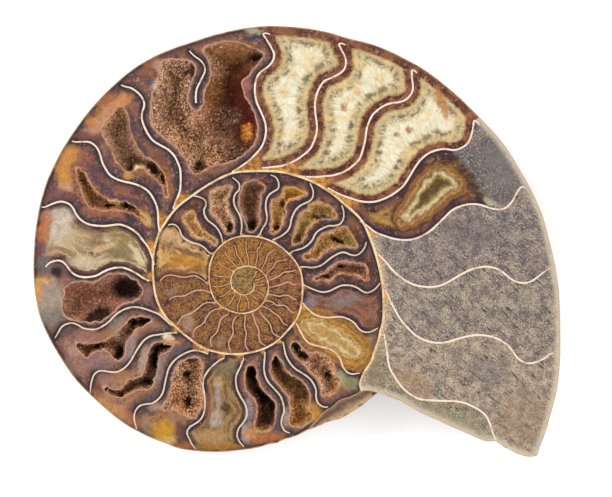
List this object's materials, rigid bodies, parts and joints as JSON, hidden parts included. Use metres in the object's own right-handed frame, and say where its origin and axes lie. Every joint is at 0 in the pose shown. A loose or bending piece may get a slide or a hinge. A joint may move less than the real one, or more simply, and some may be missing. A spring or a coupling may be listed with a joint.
{
  "type": "ammonite fossil",
  "caption": "Sawn and polished half of a coiled ammonite fossil, its chambers parted by thin curved walls, some filled with stone and others open and lined with crystals.",
  "frame": {"origin": "centre of the bounding box, on the surface that the fossil lies on", "axes": "+Z out of the polished face, +X to the right and +Y up as the polished face is seen with the broken mouth at the lower right"},
  "size_m": [0.1054, 0.0856, 0.0135],
  "materials": {
    "polished_stone": "polished, banded brown stone with cream shell walls",
    "crystals": "small glittering brown crystals"
  },
  "bodies": {
    "root": {"ammonite_half": "polished_stone", "crystal_crust_01": "crystals", "crystal_crust_02": "crystals", "crystal_crust_03": "crystals", "crystal_crust_04": "crystals", "crystal_crust_05": "crystals", "crystal_crust_06": "crystals", "crystal_crust_07": "crystals", "crystal_crust_08": "crystals", "crystal_crust_09": "crystals", "crystal_crust_10": "crystals", "crystal_crust_11": "crystals", "crystal_crust_12": "crystals", "crystal_crust_13": "crystals", "crystal_crust_14": "crystals", "crystal_crust_15": "crystals", "crystal_crust_16": "crystals", "crystal_crust_17": "crystals"}
  },
  "joints": []
}
